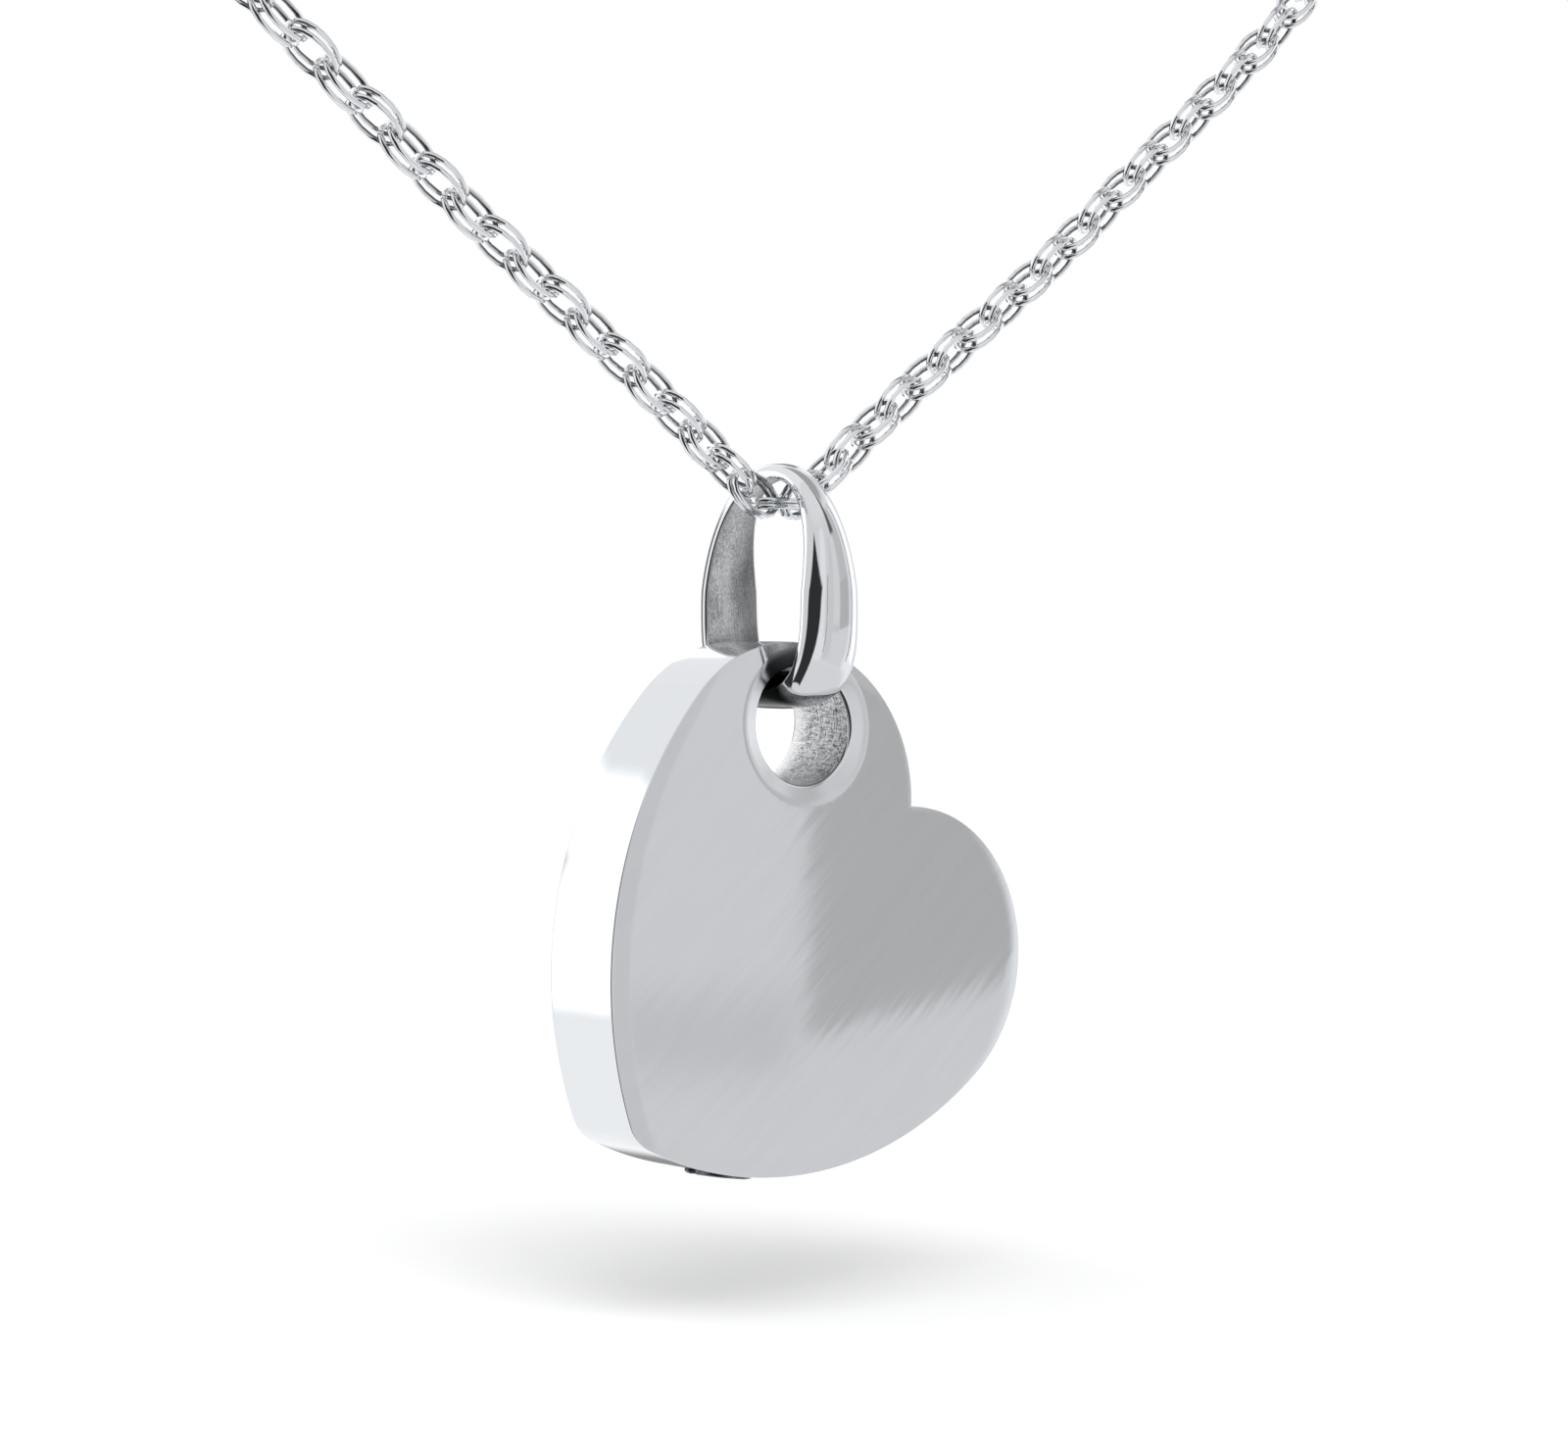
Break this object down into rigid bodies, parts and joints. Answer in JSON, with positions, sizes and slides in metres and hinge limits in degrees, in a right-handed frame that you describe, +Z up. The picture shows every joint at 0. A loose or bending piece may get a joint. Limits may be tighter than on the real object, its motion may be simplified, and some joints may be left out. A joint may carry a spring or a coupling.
{
  "type": "keepsake urn pendant necklace",
  "caption": "Thick steel heart pendant with a screw-closed ash chamber, hung by a tall half-round bail on a rope chain loop that closes with a plain clasp.",
  "frame": {"origin": "the nape, in the middle of the clasp, where the worn chain rests on the back of the neck", "axes": "+Z up; the pendant's face looks along -Y, so the neck is between the origin and the pendant; +X to the right of someone who looks at the face"},
  "size_m": [0.1286, 0.1231, 0.1732],
  "materials": {
    "heart": "fine brushed faces with a polished wall",
    "screw": "satin",
    "bail": "polished outside, dark cast satin inside",
    "chain": "polished",
    "clasp": "polished"
  },
  "bodies": {
    "necklace": {"chain": "chain", "clasp": "clasp"},
    "bail": {"bail": "bail"},
    "heart": {"heart_body": "heart"},
    "stopper": {"stopper_screw": "screw"}
  },
  "joints": [
    {"name": "bail_swing", "type": "hinge", "parent": "necklace", "child": "bail", "pos_m": [0, -0.118, -0.14], "axis": [1, 0, 0], "range_deg": [-60, 60]},
    {"name": "heart_swing", "type": "hinge", "parent": "bail", "child": "heart", "pos_m": [-0.0002, -0.118, -0.14991], "axis": [0, 1, 0], "range_deg": [-60, 60]},
    {"name": "stopper_unscrew", "type": "slide", "parent": "heart", "child": "stopper", "axis": [-0.1357, 0, -0.9907], "range_m": [0, 0.006]}
  ]
}
